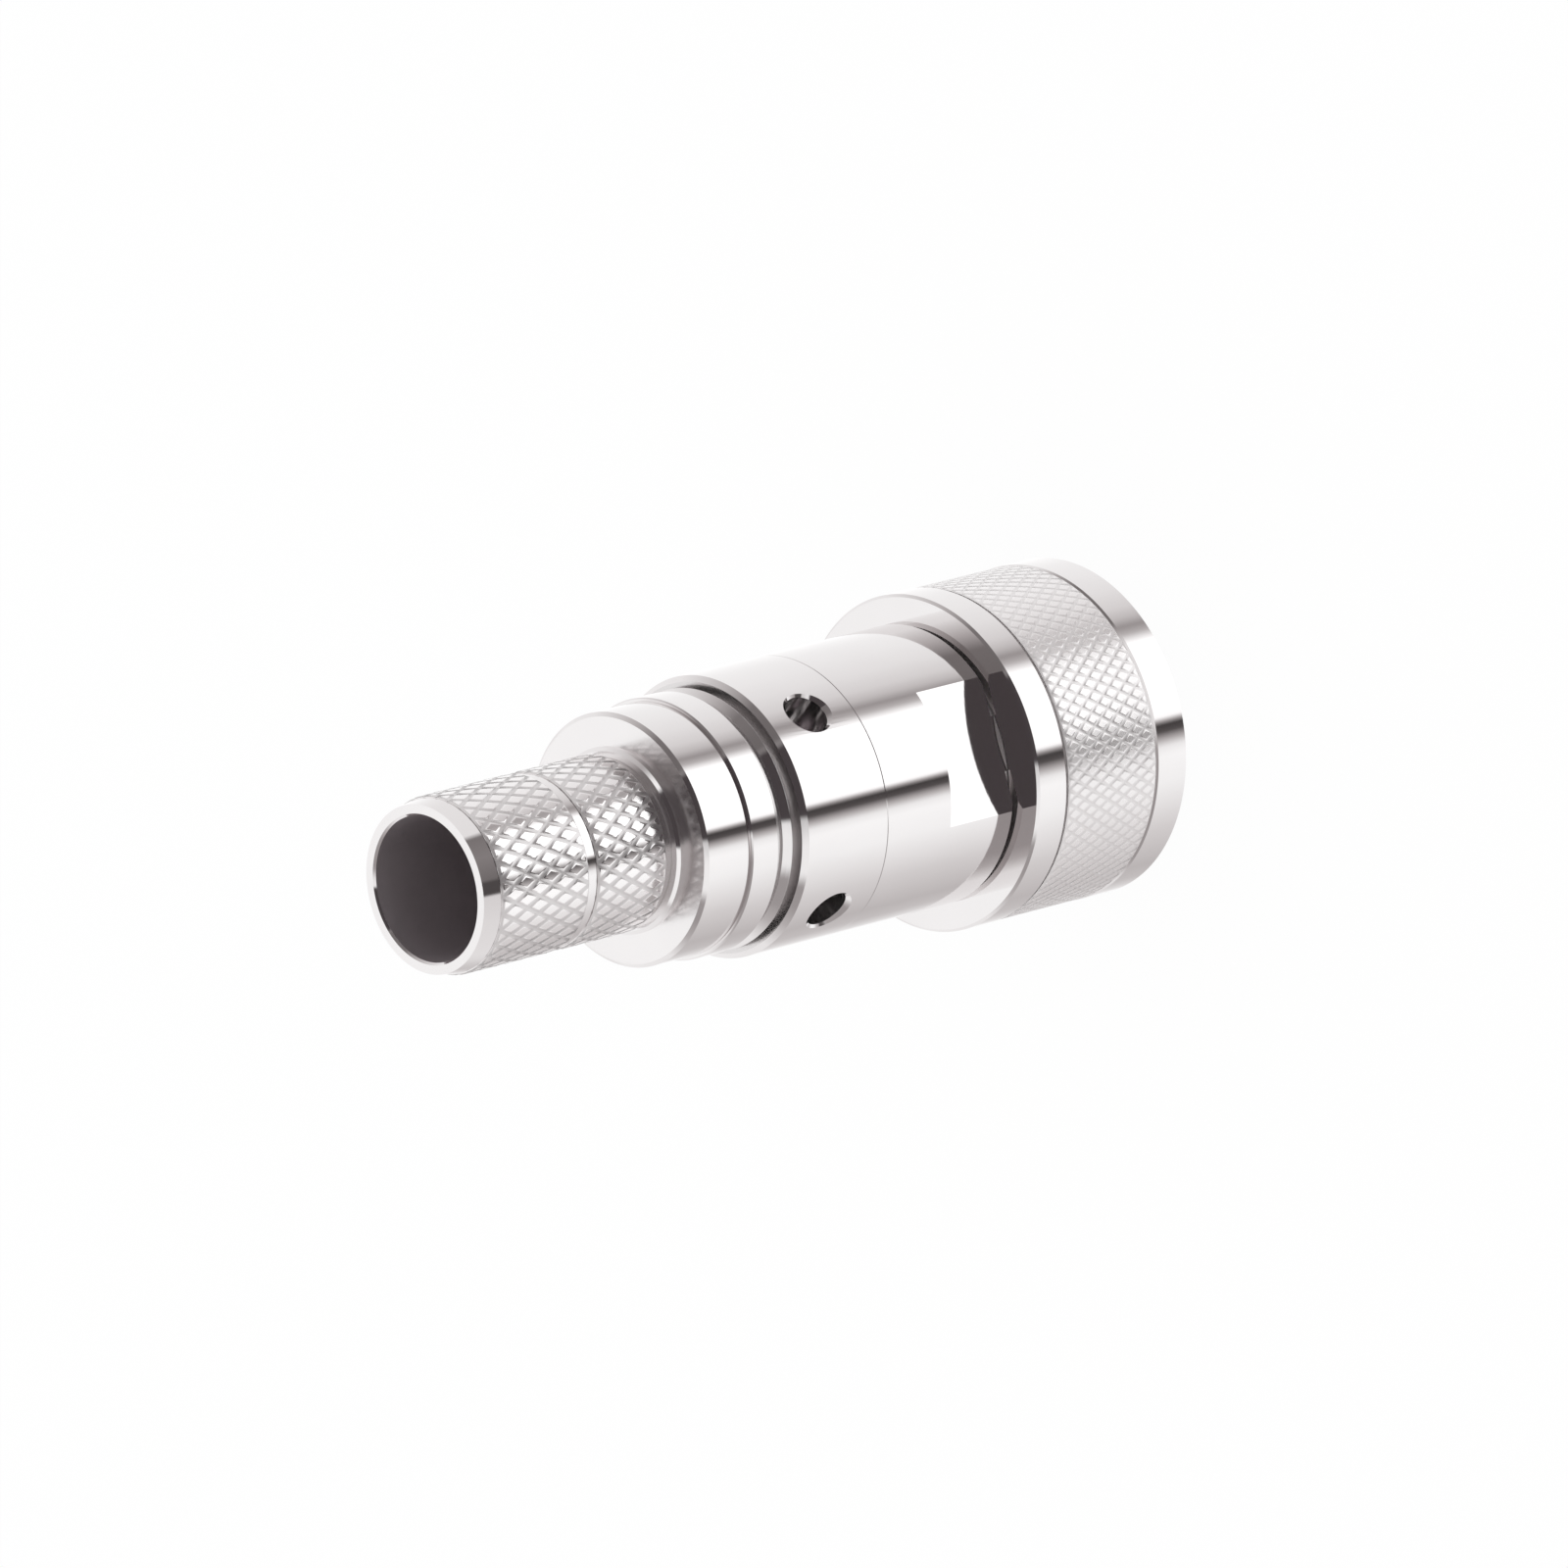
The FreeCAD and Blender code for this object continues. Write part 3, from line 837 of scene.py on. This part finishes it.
# Retaining ring.
# A split ring of spring wire in the neck's groove, duller than the plated pieces.
satin_spring = nickel_plate("satin_spring", roughness=0.3, colour=(0.55, 0.53, 0.51, 1))
dress(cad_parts["retaining_ring"], satin_spring)

# Floor and light.
# The plug stands on a white sheet in a white tent. What the plate mirrors lies further off, so
# the floor lets mirrored rays through to the tent, whose shades are set by direction alone.
FLOOR_SIZE = 3.0
PAPER = (0.93, 0.93, 0.93, 1)
PAPER_GLOW = 0.95

bpy.ops.object.select_all(action="DESELECT")
bpy.ops.mesh.primitive_plane_add(size=FLOOR_SIZE)
floor = bpy.context.object
floor.name = "floor"

white_paper = bpy.data.materials.new("white_paper")
white_paper.use_nodes = True
paper_nodes = white_paper.node_tree.nodes
paper_links = white_paper.node_tree.links
paper_nodes.clear()
rays = paper_nodes.new("ShaderNodeLightPath")
see_through = paper_nodes.new("ShaderNodeBsdfTransparent")
seen = paper_nodes.new("ShaderNodeEmission")
seen.inputs["Color"].default_value = (1, 1, 1, 1)
lit = paper_nodes.new("ShaderNodeBsdfDiffuse")
lit.inputs["Color"].default_value = PAPER
camera_mix = paper_nodes.new("ShaderNodeMixShader")
camera_mix.inputs["Fac"].default_value = PAPER_GLOW
paper_links.new(lit.outputs["BSDF"], camera_mix.inputs[1])
paper_links.new(seen.outputs["Emission"], camera_mix.inputs[2])
glossy_mix = paper_nodes.new("ShaderNodeMixShader")
paper_links.new(rays.outputs["Is Glossy Ray"], glossy_mix.inputs["Fac"])
paper_links.new(lit.outputs["BSDF"], glossy_mix.inputs[1])
paper_links.new(see_through.outputs["BSDF"], glossy_mix.inputs[2])
floor_mix = paper_nodes.new("ShaderNodeMixShader")
paper_links.new(rays.outputs["Is Camera Ray"], floor_mix.inputs["Fac"])
paper_links.new(glossy_mix.outputs["Shader"], floor_mix.inputs[1])
paper_links.new(camera_mix.outputs["Shader"], floor_mix.inputs[2])
paper_out = paper_nodes.new("ShaderNodeOutputMaterial")
paper_links.new(floor_mix.outputs["Shader"], paper_out.inputs["Surface"])
dress(floor, white_paper)

# Each shade is a turn round the plug in degrees and the brightness that a mirror shows there.
# The paper round the plug has one thin dark gap, and is grey further off. The walls are white
# behind and above, and grey beside the dark opening that the picture is taken through. In an
# opening, the number is how much of its dark shows. Darker shades are a little warmer.
WHITE = (1, 0.99, 0.99, 1)
WARM_DARKS = 0.11
DARK = (0.065, 0.055, 0.058, 1)
NEAR_PAPER = (
    (-180, 1.10),
    (-162, 0.80),
    (-144, 0.60),
    (-127, 0.55),
    (-109, 0.63),
    (-91, 0.72),
    (-73, 0.86),
    (-55, 1.00),
    (-36, 1.06),
    (-30, 0.95),
    (-25, 0.50),
    (-20, 0.10),
    (-15, 0.05),
    (-12.5, 0.45),
    (-10, 1.15),
    (0, 1.30),
    (43.4, 1.30),
    (51.4, 0.52),
    (57.2, 0.34),
    (64, 0.58),
    (73, 0.74),
    (91, 0.86),
    (113, 0.93),
    (136, 0.97),
    (162, 1.06),
    (180, 1.10),
)
FAR_PAPER = (
    (-180, 0.90),
    (-60, 0.80),
    (-28, 0.74),
    (-25, 0.08),
    (-11, 0.08),
    (-7, 0.18),
    (20, 0.25),
    (46, 0.21),
    (52, 0.85),
    (180, 0.90),
)
WALLS = (
    (-180, 1.00),
    (-125, 0.90),
    (-108, 0.50),
    (-95, 0.36),
    (-60, 0.34),
    (-26, 0.38),
    (-10, 0.85),
    (38, 0.85),
    (48, 0.40),
    (54, 0.18),
    (85, 0.20),
    (105, 0.50),
    (135, 0.90),
    (180, 1.00),
)
HIGH_WALLS = (
    (-180, 1.00),
    (-130, 0.97),
    (-24, 0.95),
    (-10, 0.90),
    (38, 0.85),
    (48, 0.40),
    (54, 0.16),
    (85, 0.18),
    (105, 0.50),
    (135, 0.90),
    (180, 1.00),
)
OPENING = (
    (-180, 0),
    (-26, 0),
    (-21, 1),
    (47, 1),
    (53, 0),
    (180, 0),
)
HIGH_OPENING = (
    (-180, 0),
    (-54, 0),
    (-48, 1),
    (70, 1),
    (77, 0),
    (180, 0),
)
# Heights are the sine of how far up or down a ray goes: where a shade starts, and is whole.
FAR_PAPER_FROM = (-0.60, -0.52)
WALLS_FROM = (-0.22, -0.10)
HIGH_WALLS_FROM = (0.68, 0.74)
CEILING_FROM = (0.78, 0.90)
HIGH_OPENING_FROM = (0.80, 0.90)
OPENING_SILL = (0.22, 0.32)
OPENING_TOP = (0.999, 0.985)

world = bpy.data.worlds.new("white_tent")
bpy.context.scene.world = world
world.use_nodes = True
tent_nodes = world.node_tree.nodes
tent_links = world.node_tree.links
tent_place = tent_nodes.new("ShaderNodeTexCoord")
tent_split = tent_nodes.new("ShaderNodeSeparateXYZ")
tent_turn = tent_nodes.new("ShaderNodeMath")
tent_turn.operation = "ARCTAN2"
tent_whole_turn = tent_nodes.new("ShaderNodeMapRange")
tent_whole_turn.inputs["From Min"].default_value = -math.pi
tent_whole_turn.inputs["From Max"].default_value = math.pi
tent_links.new(tent_place.outputs["Generated"], tent_split.inputs["Vector"])
tent_links.new(tent_split.outputs["Y"], tent_turn.inputs[0])
tent_links.new(tent_split.outputs["X"], tent_turn.inputs[1])
tent_links.new(tent_turn.outputs["Value"], tent_whole_turn.inputs["Value"])


def shades_round(shades):
    """A ramp of greys by the turn of a ray round the plug."""
    ramp = tent_nodes.new("ShaderNodeValToRGB")
    stops = ramp.color_ramp.elements
    for angle, shade in shades[1:-1]:
        stops.new((angle + 180) / 360)
    for stop, (angle, shade) in zip(stops, shades):
        stop.position = (angle + 180) / 360
        cool = shade * min(1, 1 - (1 - shade) * WARM_DARKS)
        stop.color = (shade, cool, cool, 1)
    tent_links.new(tent_whole_turn.outputs["Result"], ramp.inputs["Fac"])
    return ramp.outputs["Color"]


def by_height(start, whole):
    """How far a shade has faded in at a ray's height."""
    step = tent_nodes.new("ShaderNodeMapRange")
    step.interpolation_type = "SMOOTHSTEP"
    step.inputs["From Min"].default_value = start
    step.inputs["From Max"].default_value = whole
    tent_links.new(tent_split.outputs["Z"], step.inputs["Value"])
    return step.outputs["Result"]


def lay_over(under, over, amount):
    """Lays one shade over another. A shade is a socket or a plain colour."""
    mixed = tent_nodes.new("ShaderNodeMixRGB")
    tent_links.new(amount, mixed.inputs["Fac"])
    for socket, shade in (("Color1", under), ("Color2", over)):
        if isinstance(shade, tuple):
            mixed.inputs[socket].default_value = shade
        else:
            tent_links.new(shade, mixed.inputs[socket])
    return mixed.outputs["Color"]


tent_shade = shades_round(NEAR_PAPER)
tent_shade = lay_over(tent_shade, shades_round(FAR_PAPER), by_height(*FAR_PAPER_FROM))
tent_shade = lay_over(tent_shade, shades_round(WALLS), by_height(*WALLS_FROM))
tent_shade = lay_over(tent_shade, shades_round(HIGH_WALLS), by_height(*HIGH_WALLS_FROM))
tent_shade = lay_over(tent_shade, WHITE, by_height(*CEILING_FROM))
opening = shades_round(OPENING)
opening = lay_over(opening, shades_round(HIGH_OPENING), by_height(*HIGH_OPENING_FROM))
for edge in (by_height(*OPENING_SILL), by_height(*OPENING_TOP)):
    inside = tent_nodes.new("ShaderNodeMath")
    inside.operation = "MULTIPLY"
    tent_links.new(opening, inside.inputs[0])
    tent_links.new(edge, inside.inputs[1])
    opening = inside.outputs["Value"]
tent_shade = lay_over(tent_shade, DARK, opening)
tent_rays = tent_nodes.new("ShaderNodeLightPath")
tent_seen = lay_over((1, 1, 1, 1), tent_shade, tent_rays.outputs["Is Glossy Ray"])
tent_links.new(tent_seen, tent_nodes["Background"].inputs["Color"])

bpy.context.scene.view_settings.view_transform = "Standard"
